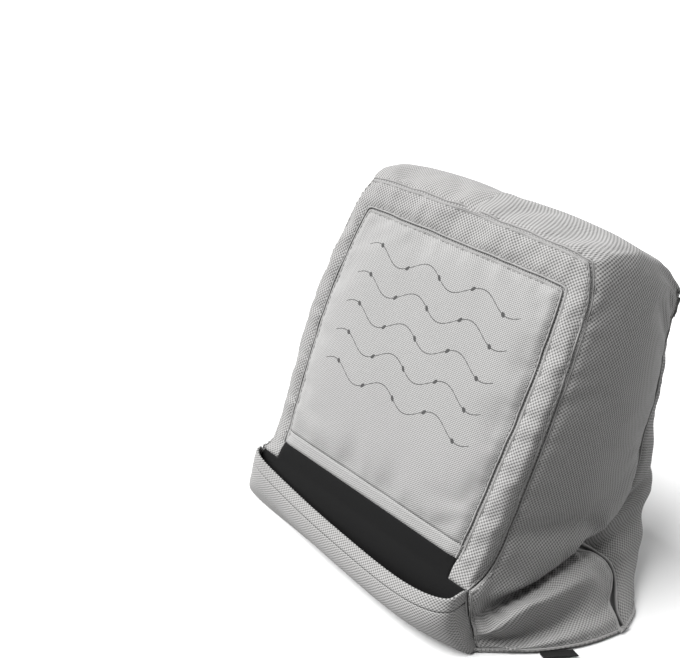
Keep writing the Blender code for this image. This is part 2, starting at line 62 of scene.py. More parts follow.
# The bag's outline, in millimetres. Each run goes round the bag between two seams or corners: its
# line along the right side seam (x, y, z), its line across the middle (y, z), and how full the
# surface is between them at its two ends (2 is an ellipse, more is boxier). A fourth pair is how far
# the surface stands out sideways beyond the seams, at its two ends.
FLOOR_FRONT = ((113, -46.5, 1.8), (-57, 1.8))
VALLEY_FRONT = ((104.5, -48.5, 22), (-57.4, 22))
MOUTH = ((101, -50, 43), (-49, 41))
RIM = ((92, 34, 237), (32.5, 242))
CREST = ((110, 117, 202), (121, 208))
HEEL = ((113, 97, 57), (141, 76))
APEX = ((114, 40, 43), (138, 50))
FLOOR_BACK = ((161, 43, 1.8), (89, 1.8))

RUNS = {
    "front_low": (
        (FLOOR_FRONT[0], (108, -48, 12), VALLEY_FRONT[0]),
        (FLOOR_FRONT[1], VALLEY_FRONT[1]),
        (2.3, 2.6),
    ),
    "front_high": (
        (VALLEY_FRONT[0], (102.5, -50, 33), MOUTH[0]),
        (VALLEY_FRONT[1], (-54.5, 33), MOUTH[1]),
        (2.6, 5),
    ),
    "face": (
        (
            MOUTH[0], (100.5, -40, 44.5), (101.5, -31, 51), (103, -22, 70), (105, -13, 104),
            (106.5, -4, 137), (104.5, 14, 187), (98, 30, 224), RIM[0],
        ),
        (MOUTH[1], (-12, 143), RIM[1]),
        (5, 3),
    ),
    "top": (
        (RIM[0], (100, 56, 236), (105, 82, 226), CREST[0]),
        (RIM[1], (57, 245), (84, 238), (106, 224), CREST[1]),
        (2.2, 3.4),
        (0, 5),
    ),
    "back": (
        (CREST[0], (110, 113, 170), (113, 109, 128), (113.5, 104, 100), (114, 104, 76), HEEL[0]),
        (CREST[1], (124, 178), (126, 140), (131, 105), HEEL[1]),
        (3.4, 5),
        (5, 5),
    ),
    "tuck": (
        (HEEL[0], (112, 84, 49), (113, 62, 46), APEX[0]),
        (HEEL[1], (143, 61), APEX[1]),
        (5, 8),
        (5, 9),
    ),
    "foot_back": (
        (
            APEX[0], (120, 56, 33), (130, 60, 29), (135, 62, 21), (140, 57, 16), (147, 47, 12),
            (153, 44, 7), FLOOR_BACK[0],
        ),
        (APEX[1], (123, 38), (106, 24), (94, 9), FLOOR_BACK[1]),
        (8, 3),
        (9, 0),
    ),
    "base": (
        (FLOOR_BACK[0], (154, 16, 1.8), (138, -16, 1.8), FLOOR_FRONT[0]),
        (FLOOR_BACK[1], (88, 0), (-47, 0), FLOOR_FRONT[1]),
        (3, 2.3),
    ),
}
# The crease along each side, from the front edge to the apex of the tuck
VALLEY = (VALLEY_FRONT[0], (105, -20, 22), (107, 5, 29), (110, 25, 36), APEX[0])

# Rows and columns of the bag
FRONT_LOW_ROWS = 14
FRONT_HIGH_ROWS = 5
FACE_ROWS = 47
VALLEY_COLUMNS = 26
TUCK_ROWS = 13
ACROSS = 44

# Rows of the face between which the cover lies, how many of them its hem takes, and the cover's
# share of the face's width
COVER_ROWS = (3, 42)
COVER_HEM_ROWS = 2
COVER_ACROSS = 0.83

# Swell of the backrest's sides: how far its crown and its ridge stand out, in millimetres, how far
# the ridge fades upward, how high it starts at the front, how much it falls, and over which share
BACKREST_CROWN = 6.0
CROWN_POWERS = (1.3, 0.5)
RIDGE_OUT = 8.0
RIDGE_FADE = 0.22
RIDGE_START = 0.085
RIDGE_FALL = 0.075
RIDGE_FALL_SHARE = 0.6
RIDGE_LEAST_WIDTH = 0.004
RIDGE_POWER = 0.4
# Swell of the foot's sides: how far, in millimetres, then its middle and reach as shares downward
FOOT_BELLY = (17.0, 0.36, 0.35)
FOOT_HOLLOW = (6.0, 0.74, 0.18)
FOOT_ROLL = (3.5, 0.88, 0.12)
# Middle and reach of the hollow along the foot, as shares
HOLLOW_ALONG = (0.3, 0.6)
# How squarely the swell rises along the foot, where less is squarer
FOOT_POWER = 0.5
# Lowest place of the foot's sides between their seams
SIDE_CLEAR = 3.0 * mm
# Rounds of smoothing that carry the sides' form in from their edges
SIDE_SMOOTHING = 90
FOOT_SMOOTHING = 25


def smooth_line(points):
    """A function of a share from 0 to 1 along a smooth curve through the points."""
    places = np.array(points, float)
    steps = np.linalg.norm(np.diff(places, axis=0), axis=1)
    knots = np.concatenate(([0.0], np.cumsum(steps))) / steps.sum()
    slopes = np.gradient(places, knots, axis=0)

    def at(share):
        i = min(max(int(np.searchsorted(knots, share, side="right")) - 1, 0), len(places) - 2)
        span = knots[i + 1] - knots[i]
        s = (share - knots[i]) / span
        start = places[i] * (2 * s**3 - 3 * s**2 + 1) + slopes[i] * span * (s**3 - 2 * s**2 + s)
        end = places[i + 1] * (3 * s**2 - 2 * s**3) + slopes[i + 1] * span * (s**3 - s**2)
        return start + end
    return at


class Run:
    """One stretch round the bag."""

    def __init__(self, side, middle, fullness, spread=(0, 0)):
        self.side = smooth_line(side)
        self.middle = smooth_line(middle)
        self.fullness = fullness
        self.spread = spread

    def point(self, t, u):
        """Place at share t along the run and u from -1 to 1 across it, in metres."""
        x, side_y, side_z = self.side(t)
        middle_y, middle_z = self.middle(t)
        power = self.fullness[0] + (self.fullness[1] - self.fullness[0]) * t
        share = (1 - abs(u) ** power) ** (1 / power)
        y = side_y + (middle_y - side_y) * share
        z = side_z + (middle_z - side_z) * share
        x += (self.spread[0] + (self.spread[1] - self.spread[0]) * t) * share
        return np.array((u * x, y, max(z, 0.0))) * mm


def across_shares():
    """Shares across the bag, closer together towards its side seams."""
    even = np.linspace(-1, 1, ACROSS + 1)
    return 0.5 * even + 0.5 * np.sin(even * pi / 2)


def patch(left, right, bottom, top):
    """A grid of places between four edges that meet at their corners."""
    rows = len(left)
    columns = len(bottom)
    grid = np.zeros((rows, columns, 3))
    for i in range(rows):
        b = i / (rows - 1)
        for j in range(columns):
            a = j / (columns - 1)
            sides = (1 - a) * left[i] + a * right[i] + (1 - b) * bottom[j] + b * top[j]
            low = (1 - a) * bottom[0] + a * bottom[-1]
            high = (1 - a) * top[0] + a * top[-1]
            grid[i, j] = sides - (1 - b) * low - b * high
    return grid


def bump(value, centre, width):
    """A smooth hump of height 1 at centre, and 0 from width away."""
    away = np.clip(np.abs(value - centre) / width, 0, 1)
    return 0.5 + 0.5 * np.cos(away * pi)


def arch(share, power):
    """A rise from 0 at one end of a side to 1 in its middle, and back to 0."""
    return np.clip(np.sin(pi * np.clip(share, 0, 1)), 0, 1) ** power


def swelled(grid, amount):
    """Moves a side grid outward by amount(a, b), a along it and b up it, at right angles to itself."""
    along = np.gradient(grid, axis=1)
    up = np.gradient(grid, axis=0)
    out = np.cross(along, up)
    out /= np.linalg.norm(out, axis=2, keepdims=True)
    rows, columns = grid.shape[:2]
    b, a = np.meshgrid(np.linspace(0, 1, rows), np.linspace(0, 1, columns), indexing="ij")
    moved = grid + out * (amount(a, b) * mm)[..., None]
    moved[0], moved[-1] = grid[0], grid[-1]
    moved[:, 0], moved[:, -1] = grid[:, 0], grid[:, -1]
    return moved


def backrest_swell(a, b):
    """The filled side of the backrest, and the ridge that hangs over the crease below it."""
    crown = BACKREST_CROWN * arch(a, CROWN_POWERS[0]) * arch(b, CROWN_POWERS[1])
    ridge_height = RIDGE_START - RIDGE_FALL * np.clip(a / RIDGE_FALL_SHARE, 0, 1)
    width = np.where(b < ridge_height, ridge_height + RIDGE_LEAST_WIDTH, RIDGE_FADE)
    return crown + RIDGE_OUT * bump(b, ridge_height, width) * arch(a, RIDGE_POWER)


def foot_swell(a, b):
    """The foot's side: a belly under the crease, a soft hollow lower down, and a roll at the base."""
    belly, hollow, roll = (
        out * bump(1 - b, centre, reach)
        for out, centre, reach in (FOOT_BELLY, FOOT_HOLLOW, FOOT_ROLL)
    )
    return arch(a, FOOT_POWER) * (belly - hollow * bump(a, *HOLLOW_ALONG) + roll)


class Bag:
    """The closed bag's places, faces and regions, and where each face's corners lie on its cloth."""

    def __init__(self):
        self.places = []
        self.faces = []
        self.regions = []
        self.grain = []

    def add(self, place):
        self.places.append(np.array(place))
        return len(self.places) - 1

    def face(self, corners, region, grain):
        self.faces.append(corners)
        self.regions.append(region)
        self.grain.append(grain)


REGIONS = (
    "front", "lining", "cover_hem", "cover", "border", "top", "back", "tuck", "foot_back", "base",
    "side_right", "side_left", "foot_side_right", "foot_side_left",
)
SIDES = {"side_right", "side_left"}
FOOT_SIDES = {"foot_side_right", "foot_side_left"}
# The backrest's lean from upright: its run back over its rise
BACKREST_TILT = atan(76 / 197)


def tilted(place):
    """Distances across and along the backrest's slope, for the cloth's grain on its sides."""
    c, s = cos(BACKREST_TILT), sin(BACKREST_TILT)
    return place[1] * c - place[2] * s, place[1] * s + place[2] * c


def face_region(row, u_low, u_high):
    """What covers a place of the face: the cover, its hem, the lining under its mouth, or the border."""
    if max(abs(u_low), abs(u_high)) > COVER_ACROSS or row >= COVER_ROWS[1]:
        return "border"
    if row < COVER_ROWS[0]:
        return "lining"
    if row < COVER_ROWS[0] + COVER_HEM_ROWS:
        return "cover_hem"
    return "cover"


def build_bag():
    """The closed bag: runs round it from side seam to side seam, and both sides between them."""
    runs = {name: Run(*values) for name, values in RUNS.items()}
    high_rows = FRONT_HIGH_ROWS + FACE_ROWS
    top_rows = VALLEY_COLUMNS + TUCK_ROWS
    counts = {
        "front_low": FRONT_LOW_ROWS,
        "front_high": FRONT_HIGH_ROWS,
        "face": FACE_ROWS,
        "top": top_rows,
        "back": high_rows,
        "tuck": TUCK_ROWS,
        "foot_back": FRONT_LOW_ROWS,
        "base": VALLEY_COLUMNS,
    }
    bag = Bag()
    shares = across_shares()
    nearest = np.argmin(np.abs(shares - COVER_ACROSS))
    shares[nearest] = COVER_ACROSS
    shares[len(shares) - 1 - nearest] = -COVER_ACROSS
    ring = []
    first_row = {}
    owners = []
    for name, run in runs.items():
        first_row[name] = len(ring)
        for i in range(counts[name]):
            t = i / counts[name]
            ring.append([bag.add(run.point(t, u)) for u in shares])
            owners.append((name, i))
    places = np.array(bag.places)
    middle = len(shares) // 2
    middle_line = places[[row[middle] for row in ring]]
    steps = np.linalg.norm(np.diff(np.vstack((middle_line, middle_line[:1])), axis=0), axis=1)
    run_along = np.concatenate(([0.0], np.cumsum(steps)))
    spread = []
    for row in ring:
        line = places[row]
        away = np.concatenate(([0.0], np.cumsum(np.linalg.norm(np.diff(line, axis=0), axis=1))))
        spread.append(away - away[middle])
    for r, row in enumerate(ring):
        after = (r + 1) % len(ring)
        following = ring[after]
        name, i = owners[r]
        for c in range(ACROSS):
            if name == "face":
                region = face_region(i, shares[c], shares[c + 1])
            elif name in ("front_low", "front_high"):
                region = "front"
            else:
                region = name
            corners = (row[c], row[c + 1], following[c + 1], following[c])
            grain = []
            for low, k in ((True, c), (True, c + 1), (False, c + 1), (False, c)):
                out = spread[r if low else after][k]
                up = run_along[r if low else r + 1]
                if name == "top":
                    edge_across, edge_up = tilted(places[row[-1] if low else following[-1]])
                    edge_spread = spread[r if low else after][-1]
                    grain.append((edge_across, edge_up + edge_spread - abs(out)))
                else:
                    grain.append((out, up))
            bag.face(corners, region, grain)

    valley_line = smooth_line(VALLEY)
    for side, sign, column in (("right", 1, -1), ("left", -1, 0)):
        edge = [row[column] for row in ring]
        valley = [edge[first_row["front_high"]]]
        for j in range(1, VALLEY_COLUMNS):
            x, y, z = valley_line(j / VALLEY_COLUMNS)
            valley.append(bag.add(np.array((sign * x, y, z)) * mm))
        valley.append(edge[first_row["foot_back"]])
        tuck = [edge[first_row["foot_back"] - k] for k in range(1, TUCK_ROWS + 1)]
        left = [edge[first_row["front_high"] + i] for i in range(high_rows + 1)]
        top = [edge[first_row["top"] + j] for j in range(top_rows + 1)]
        right = [edge[first_row["tuck"] - i] for i in range(high_rows + 1)]
        add_side(bag, left, right, valley + tuck, top, backrest_swell, "side_" + side)
        left = [edge[i] for i in range(FRONT_LOW_ROWS + 1)]
        right = [edge[first_row["base"] - i] for i in range(FRONT_LOW_ROWS + 1)]
        base = [edge[(len(ring) - j) % len(ring)] for j in range(VALLEY_COLUMNS + 1)]
        add_side(bag, left, right, base, valley, foot_swell, "foot_side_" + side)
    return bag


def add_side(bag, left, right, bottom, top, swell, region):
    """A side of the bag between four edges, swelled outward."""
    places = np.array(bag.places)
    grid = patch(places[left], places[right], places[bottom], places[top])
    for k in range(FOOT_SMOOTHING if region in FOOT_SIDES else SIDE_SMOOTHING):
        around = grid[:-2, 1:-1] + grid[2:, 1:-1] + grid[1:-1, :-2] + grid[1:-1, 2:]
        grid[1:-1, 1:-1] = around / 4
    if region.endswith("left"):
        mirror = np.array((-1, 1, 1))
        grid = swelled(grid * mirror, swell) * mirror
    else:
        grid = swelled(grid, swell)
    grid[1:-1, 1:-1, 2] = np.maximum(grid[1:-1, 1:-1, 2], SIDE_CLEAR)
    rows, columns = grid.shape[:2]
    index = np.zeros((rows, columns), int)
    index[:, 0], index[:, -1] = left, right
    index[0], index[-1] = bottom, top
    for i in range(1, rows - 1):
        for j in range(1, columns - 1):
            index[i, j] = bag.add(grid[i, j])
    nodes = np.array(bag.places)[index]
    if region in FOOT_SIDES:
        out = np.linalg.norm(np.diff(nodes, axis=1), axis=2)
        up = np.linalg.norm(np.diff(nodes, axis=0), axis=2)
        out = np.concatenate((np.zeros((rows, 1)), np.cumsum(out, axis=1)), axis=1)
        up = np.concatenate((np.zeros((1, columns)), np.cumsum(up, axis=0)), axis=0)
        grain_at = np.stack((out, up), axis=2)
    else:
        grain_at = np.stack(tilted(nodes.transpose(2, 0, 1)), axis=2)
    for i in range(rows - 1):
        for j in range(columns - 1):
            cells = ((i, j), (i, j + 1), (i + 1, j + 1), (i + 1, j))
            grain = [tuple(grain_at[cell]) for cell in cells]
            bag.face([int(index[cell]) for cell in cells], region, grain)


SEAMED = (
    ({"border", "lining"}, SIDES),
    ({"border"}, {"top"}),
    ({"top"}, {"back"}),
    ({"back", "tuck", "foot_back"}, SIDES | FOOT_SIDES),
    ({"base"}, FOOT_SIDES | {"foot_back", "front"}),
    ({"front"}, SIDES | FOOT_SIDES | {"lining", "border"}),
    ({"border"}, {"cover", "lining", "cover_hem"}),
    ({"cover_hem"}, {"lining"}),
)


def seam_between(one, other):
    return any(
        (one in a and other in b) or (one in b and other in a)
        for a, b in SEAMED
    )


def opened(mesh):
    """A mesh opened for editing."""
    bm = bmesh.new()
    bm.from_mesh(mesh)
    return bm


def closed_up(bm, name):
    """A new mesh of what was edited."""
    mesh = bpy.data.meshes.new(name)
    bm.to_mesh(mesh)
    bm.free()
    return mesh


def linked(name, data):
    """A new object in the scene."""
    piece = bpy.data.objects.new(name, data)
    bpy.context.scene.collection.objects.link(piece)
    return piece


def bag_mesh(bag):
    mesh = bpy.data.meshes.new("bag")
    mesh.from_pydata([Vector(p) for p in bag.places], [], bag.faces)
    for polygon, region in zip(mesh.polygons, bag.regions):
        polygon.material_index = REGIONS.index(region)
    grain = mesh.attributes.new("grain", "FLOAT2", "CORNER")
    flat = [value for face in bag.grain for pair in face for value in pair]
    grain.data.foreach_set("vector", flat)
    bm = opened(mesh)
    bmesh.ops.recalc_face_normals(bm, faces=bm.faces[:])
    crease = bm.edges.layers.float.new("crease_edge")
    for edge in bm.edges:
        names = [REGIONS[face.material_index] for face in edge.link_faces]
        if len(names) == 2 and seam_between(*names):
            edge[crease] = 1.0
    bm.to_mesh(mesh)
    bm.free()
    return mesh


def pinned_points(mesh):
    """Points that the filling can't move: seams, the crease along each side, and what lies flat."""
    held = set()
    edges_of = {}
    for polygon in mesh.polygons:
        region = REGIONS[polygon.material_index]
        for key in polygon.edge_keys:
            edges_of.setdefault(key, []).append(region)
        if region in ("front", "base", "lining", "cover_hem"):
            held.update(polygon.vertices)
    for key, names in edges_of.items():
        if len(names) == 2 and seam_between(*names):
            held.update(key)
        if {"side", "foot"} == {name.split("_")[0] for name in names} and len(set(names)) == 2:
            held.update(key)
    return held


FILL_PRESSURE = 3.0
FILL_FRAMES = 16
MOST_MOVED = 4.0 * mm
# The cloth's values while it is filled
CLOTH_VALUES = {
    "quality": 6,
    "mass": 0.25,
    "tension_stiffness": 12,
    "compression_stiffness": 12,
    "shear_stiffness": 6,
    "bending_stiffness": 0.8,
    "use_pressure": True,
    "uniform_pressure_force": FILL_PRESSURE,
    "shrink_min": -0.025,
    "vertex_group_mass": "sewn",
}


def flat_places(mesh):
    """A mesh's places as rows of three numbers."""
    places = np.zeros(len(mesh.vertices) * 3)
    mesh.vertices.foreach_get("co", places)
    return places.reshape(-1, 3)


def fill_with_beads(bag_piece):
    """Lets the filling press the cloth outward between its seams, and caps how far it goes."""
    mesh = bag_piece.data
    before = flat_places(mesh)
    group = bag_piece.vertex_groups.new(name="sewn")
    group.add(sorted(pinned_points(mesh)), 1.0, "REPLACE")
    cloth = bag_piece.modifiers.new("Filling", "CLOTH")
    for name, value in CLOTH_VALUES.items():
        setattr(cloth.settings, name, value)
    cloth.settings.effector_weights.gravity = 0
    cloth.point_cache.frame_start = 1
    cloth.point_cache.frame_end = FILL_FRAMES
    scene = bpy.context.scene
    for number in range(1, FILL_FRAMES + 1):
        scene.frame_set(number)
    graph = bpy.context.evaluated_depsgraph_get()
    after = flat_places(bag_piece.evaluated_get(graph).to_mesh())
    bag_piece.evaluated_get(graph).to_mesh_clear()
    bag_piece.modifiers.remove(cloth)
    scene.frame_set(1)
    move = after - before
    length = np.linalg.norm(move, axis=1, keepdims=True)
    move *= MOST_MOVED * np.tanh(length / MOST_MOVED) / np.maximum(length, 1e-9)
    mesh.vertices.foreach_set("co", (before + move).ravel())
    mesh.update()


def refine(piece):
    """Adds one round of Catmull-Clark subdivision."""
    shape = piece.modifiers.new("Finer", "SUBSURF")
    shape.levels = 1
    shape.render_levels = 1


def thicken(piece, thickness, offset=-1.0):
    """Grows the cloth's thickness, inward unless the offset says otherwise."""
    shell = piece.modifiers.new("Cloth", "SOLIDIFY")
    shell.thickness = thickness
    shell.offset = offset


def final_mesh(piece):
    """The piece's mesh after its modifiers."""
    graph = bpy.context.evaluated_depsgraph_get()
    shown = piece.evaluated_get(graph)
    return bpy.data.meshes.new_from_object(shown, preserve_all_data_layers=True, depsgraph=graph)


def finished(piece):
    """Applies a piece's modifiers, so that its mesh is final."""
    mesh = final_mesh(piece)
    piece.modifiers.clear()
    piece.data = mesh
    return piece


# Small gathers where the cloth is sewn: height, wavelengths, and how far in they rise and fade
GATHER_HEIGHT = 0.45 * mm
GATHER_WAVES = (8.5 * mm, 13.0 * mm, 23.0 * mm)
GATHER_RISE = 2.5 * mm
GATHER_FADE = 11.0 * mm
# Seams that gather the cloth: the regions on their two sides, and how strongly they do
GATHERED = (
    ({"border", "lining"}, SIDES | {"top"}, 1.0),
    ({"back", "tuck"}, SIDES | {"top"}, 1.0),
    ({"foot_back"}, FOOT_SIDES, 1.6),
    ({"base"}, FOOT_SIDES | {"foot_back"}, 1.2),
    ({"border"}, {"cover", "cover_hem"}, 1.3),
    ({"front"}, FOOT_SIDES, 1.2),
)
# How far the cloth dips into its seams, and how wide the dip is
SEAM_DIP = 1.8 * mm
SEAM_DIP_WIDTH = 4.0 * mm
# Creases in the pinched cloth of the foot, just under the overhang, and how unevenly they lie
CREASE_HEIGHT = 1.8 * mm
CREASE_WAVE = 8.0 * mm
CREASE_RISE = 3 * mm
CREASE_DEPTH = 16.0 * mm
CREASE_SHIFT = 2.0
CREASE_SHIFT_TURNS = 90
VALLEY_MARKS = VALLEY_COLUMNS * 4


def distances(places):
    """How far each place lies along the line through them all."""
    run = [0.0]
    for before, after in zip(places, places[1:]):
        run.append(run[-1] + (after - before).length)
    return run


def valley_tree():
    """Marks along both creases, to measure how far a place lies below them."""
    tree = KDTree(2 * (VALLEY_MARKS + 1))
    valley_line = smooth_line(VALLEY)
    for i in range(VALLEY_MARKS + 1):
        x, y, z = valley_line(i / VALLEY_MARKS) * mm
        for sign in (-1, 1):
            tree.insert((sign * x, y, z), 2 * i + (sign > 0))
    tree.balance()
    return tree


def gather_seams(mesh):
    """Puckers the cloth beside its seams, and draws fine creases down the foot under the overhang."""
    lines = [
        (trace.places, height)
        for left, right, height in GATHERED
        for trace in trace_seams(mesh, left, right)
    ]
    tree = KDTree(sum(len(places) for places, height in lines))
    marks = []
    for places, height in lines:
        for place, run in zip(places, distances(places)):
            tree.insert(place, len(marks))
            marks.append((run, height))
    tree.balance()
    valley = valley_tree()
    on_foot = set()
    on_floor = set()
    for polygon in mesh.polygons:
        if REGIONS[polygon.material_index] in FOOT_SIDES:
            on_foot.update(polygon.vertices)
        if REGIONS[polygon.material_index] == "base":
            on_floor.update(polygon.vertices)
    normals = [v.normal.copy() for v in mesh.vertices]
    for v, normal in zip(mesh.vertices, normals):
        place, index, away = tree.find(v.co)
        if v.index in on_floor:
            continue
        run, height = marks[index]
        waves = (sin(tau * run / length + k) for k, length in enumerate(GATHER_WAVES))
        wave = sum(waves) / len(GATHER_WAVES)
        rise = min(1.0, away / GATHER_RISE) * exp(-(away / GATHER_FADE) ** 2)
        move = GATHER_HEIGHT * height * wave * rise - SEAM_DIP * exp(-(away / SEAM_DIP_WIDTH) ** 2)
        if v.index in on_foot:
            depth = valley.find(v.co)[2]
            fade = min(1.0, depth / CREASE_RISE) * max(0.0, 1 - depth / CREASE_DEPTH)
            shift = CREASE_SHIFT * sin(v.co.y * CREASE_SHIFT_TURNS)
            crease = 0.5 + 0.5 * sin(tau * v.co.y / CREASE_WAVE + shift)
            move -= CREASE_HEIGHT * fade * crease
        v.co += normal * move
        v.co.z = max(v.co.z, FLOOR_CLEAR)
    mesh.update()


class Trace:
    """A seam's line on the bag, with the way into the cloth and the way up from it on its two sides."""

    def __init__(self, places, sides, closed):
        self.places = places
        self.sides = sides
        self.closed = closed


def trace_seams(mesh, left_regions, right_regions):
    """Every unbroken line where cloth of one set of regions meets cloth of the other."""
    bm = opened(mesh)
    bm.normal_update()
    left_regions = {REGIONS.index(name) for name in left_regions}
    right_regions = {REGIONS.index(name) for name in right_regions}
    links = {}
    for edge in bm.edges:
        kinds = [face.material_index for face in edge.link_faces]
        if len(kinds) != 2:
            continue
        crosses = any(
            kinds[k] in left_regions and kinds[1 - k] in right_regions
            for k in (0, 1)
        )
        if crosses:
            a, b = edge.verts
            links.setdefault(a, []).append(b)
            links.setdefault(b, []).append(a)
    lines = []
    waiting = set(links)
    for start in sorted(waiting, key=lambda v: (len(links[v]), v.index)):
        if start not in waiting:
            continue
        line = [start]
        waiting.discard(start)
        here = start
        while True:
            onward = [v for v in links[here] if v in waiting]
            if not onward:
                break
            here = min(onward, key=lambda v: v.index)
            waiting.discard(here)
            line.append(here)
        closed = len(line) > 2 and line[0] in links[line[-1]]
        lines.append(trace_of(line, left_regions, right_regions, closed))
    bm.free()
    return lines


def trace_of(line, left_regions, right_regions, closed):
    """A seam's trace along a line of vertices."""
    places = [v.co.copy() for v in line]
    sides = (([], []), ([], []))
    count = len(line)
    for i, vert in enumerate(line):
        before = places[(i - 1) % count] if closed or i > 0 else places[i]
        after = places[(i + 1) % count] if closed or i < count - 1 else places[i]
        along = (after - before).normalized()
        for (ways, ups), regions in zip(sides, (left_regions, right_regions)):
            faces = [face for face in vert.link_faces if face.material_index in regions]
            if not faces:
                ways.append(None)
                ups.append(None)
                continue
            way = sum((face.calc_center_median() - vert.co for face in faces), Vector())
            way -= along * way.dot(along)
            up = sum((face.normal for face in faces), Vector()).normalized()
            ways.append((way - up * way.dot(up)).normalized())
            ups.append(up)
    for ways, ups in sides:
        fill_gaps(ways)
        fill_gaps(ups)
    return Trace(places, sides, closed)


def fill_gaps(values):
    """Gives a point with no cloth on one side its neighbour's direction."""
    known = [i for i, value in enumerate(values) if value is not None]
    for i, value in enumerate(values):
        if value is None:
            values[i] = values[min(known, key=lambda k: abs(k - i))]


def new_piece(name, mesh, finish):
    """A piece of the scene with a finish's material; the finish's slot is not used."""
    material, slot = finish
    piece = linked(name, mesh)
    mesh.materials.clear()
    mesh.materials.append(material)
    mesh.polygons.foreach_set("material_index", [0] * len(mesh.polygons))
    mesh.shade_smooth()
    return piece


def cut_out(name, source, regions, finish, thickness, lift):
    """A piece of cloth: some regions of the bag, with thickness grown inward."""
    wanted = {REGIONS.index(region) for region in regions}
    bm = opened(source)
    if lift:
        bm.normal_update()
        moved = [(v, v.co + v.normal * lift) for v in bm.verts]
        for v, place in moved:
            v.co = place
    others = [face for face in bm.faces if face.material_index not in wanted]
    bmesh.ops.delete(bm, geom=others, context="FACES")
    piece = new_piece(name, closed_up(bm, name), finish)
    thicken(piece, thickness)
    return finished(piece)


# Cross-sections of sewn seams: distance into the cloth on either side, and height above it, in
# millimetres. Painted shade darkens the groove from the third pair to the fifth.
SEAM_PROFILE = ((2.4, -0.5), (1.9, 0.45), (1.3, 0.7), (0.85, 0.4), (0.45, -0.6), (0.0, -1.6))
THICK_SEAM = ((4.0, -0.6), (3.2, 0.5), (2.4, 0.8), (1.8, 0.3), (1.2, -0.9), (0.0, -1.8))
FOOT_SEAM = ((4.4, -0.6), (3.4, 0.9), (2.6, 1.3), (1.9, 0.9), (1.3, 0.35), (0.0, 0.15))

STITCH_PITCH = 4.2 * mm
STITCH_LENGTH = 3.0 * mm
STITCH_RADIUS = 0.26 * mm
STITCH_REACH = 2.6 * mm
STITCH_HEIGHT = 0.3 * mm
STITCH_SIDES = 6
# Shares of a stitch's length from its middle, and its thickness there
STITCH_RINGS = ((-0.5, 0.25), (-0.25, 1.0), (0.25, 1.0), (0.5, 0.25))


def add_stitches(bm, trace):
    """Short threads lying on both sides of a seam, at an even pitch."""
    places = trace.places + trace.places[:1] if trace.closed else trace.places
    run = distances(places)
    for ways, ups in trace.sides:
        i = 0
        for k in range(int(run[-1] / STITCH_PITCH)):
            middle = (k + 0.5) * STITCH_PITCH
            while i < len(run) - 2 and run[i + 1] < middle:
                i += 1
            share = (middle - run[i]) / (run[i + 1] - run[i])
            along = (places[i + 1] - places[i]).normalized()
            way, up = ways[i % len(ways)], ups[i % len(ways)]
            place = places[i].lerp(places[i + 1], share) + way * STITCH_REACH + up * STITCH_HEIGHT
            across = along.cross(up).normalized()
            rings = []
            for end, thick in STITCH_RINGS:
                centre = place + along * end * STITCH_LENGTH
                ring = []
                for n in range(STITCH_SIDES):
                    turn = tau * n / STITCH_SIDES
                    out = across * cos(turn) + up * sin(turn)
                    ring.append(bm.verts.new(centre + out * STITCH_RADIUS * thick))
                rings.append(ring)
            for a, b in zip(rings, rings[1:]):
                for n in range(STITCH_SIDES):
                    m = (n + 1) % STITCH_SIDES
                    bm.faces.new((a[n], a[m], b[m], b[n]))


def add_welt(name, trace, profile, finish):
    """The two rolled edges of a seam, the groove between them, and the stitches on both sides."""
    count = len(trace.places)
    section = [(0, *point) for point in profile] + [(1, *point) for point in profile[-2::-1]]
    edge, bottom = profile[2][0], profile[4][0]
    bm = bmesh.new()
    groove = bm.verts.layers.float.new("groove")
    left_ups, right_ups = trace.sides[0][1], trace.sides[1][1]
    rows = []
    for i in range(count):
        row = []
        for side, reach, height in section:
            ways, ups = trace.sides[side]
            up = ups[i] if reach else (left_ups[i] + right_ups[i]).normalized()
            place = trace.places[i] + ways[i] * reach * mm + up * height * mm
            place.z = max(place.z, FLOOR_CLEAR)
            vert = bm.verts.new(place)
            # How deep in the groove each point lies, where the seam's material paints shade
            vert[groove] = min(1.0, max(0.0, (edge - reach) / (edge - bottom)))
            row.append(vert)
        rows.append(row)
    for i in range(count if trace.closed else count - 1):
        j = (i + 1) % count
        for k in range(len(section) - 1):
            bm.faces.new((rows[i][k], rows[i][k + 1], rows[j][k + 1], rows[j][k]))
    bm.normal_update()
    bm.faces.ensure_lookup_table()
    outward = sum(face.normal.dot(left_ups[0] + right_ups[0]) for face in bm.faces[:8])
    if outward < 0:
        bmesh.ops.reverse_faces(bm, faces=bm.faces[:])
    add_stitches(bm, trace)
    return new_piece(name, closed_up(bm, name), finish)


# Materials
def link(tree, source, target):
    tree.links.new(source, target)


def math_node(tree, operation, *inputs):
    """A Math node whose inputs are numbers or sockets."""
    node = tree.nodes.new("ShaderNodeMath")
    node.operation = operation
    for socket, value in zip(node.inputs, inputs):
        if isinstance(value, (int, float)):
            socket.default_value = value
        else:
            link(tree, value, socket)
    return node.outputs[0]


def noise(tree, scale, detail):
    """A noise that stays with the piece."""
    place = tree.nodes.new("ShaderNodeTexCoord")
    node = tree.nodes.new("ShaderNodeTexNoise")
    node.inputs["Scale"].default_value = scale
    node.inputs["Detail"].default_value = detail
    link(tree, place.outputs["Object"], node.inputs["Vector"])
    return node.outputs["Fac"]


def mixed(tree, share, first, second):
    """Two colours mixed by a share, the first a socket and the second a socket or a colour."""
    node = tree.nodes.new("ShaderNodeMix")
    node.data_type = "RGBA"
    link(tree, share, node.inputs["Factor"])
    link(tree, first, node.inputs["A"])
    if isinstance(second, tuple):
        node.inputs["B"].default_value = second
    else:
        link(tree, second, node.inputs["B"])
    return node.outputs["Result"]


def shaded(tree, colour, value):
    """A colour made lighter or darker by a value."""
    node = tree.nodes.new("ShaderNodeHueSaturation")
    link(tree, colour, node.inputs["Color"])
    link(tree, value, node.inputs["Value"])
    return node.outputs["Color"]


